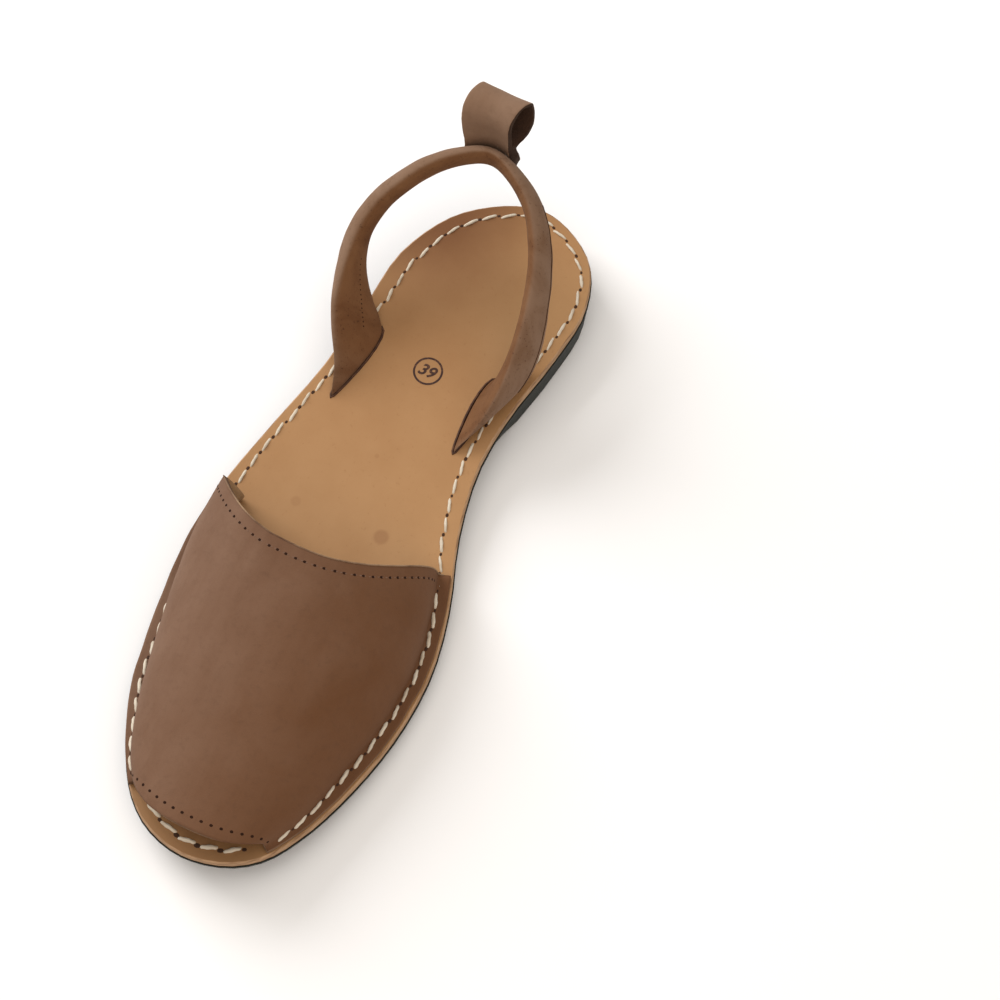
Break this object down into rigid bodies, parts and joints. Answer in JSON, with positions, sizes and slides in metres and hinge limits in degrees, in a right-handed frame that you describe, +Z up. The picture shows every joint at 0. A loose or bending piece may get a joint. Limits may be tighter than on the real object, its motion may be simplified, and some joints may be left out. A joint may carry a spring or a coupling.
{
  "type": "avarca sandal",
  "caption": "Flat slingback sandal for the right foot: hollow one-piece vamp with peep toe, footbed on a low heeled rubber sole, folded heel strap with pull loop.",
  "frame": {"origin": "on the floor under the middle of the heel, on the underside of the heel block", "axes": "+Y points from heel to toe, +X to the outer side of the right foot, +Z up"},
  "size_m": [0.0976, 0.2678, 0.0823],
  "materials": {
    "rubber": "matt, moulded",
    "tan_leather": "smooth, lightly waxed",
    "nubuck": "fine nap, matt"
  },
  "bodies": {
    "root": {"outsole": "rubber", "footbed": "tan_leather", "vamp": "nubuck", "heel_strap": "nubuck", "pull_tab": "nubuck"}
  },
  "joints": []
}
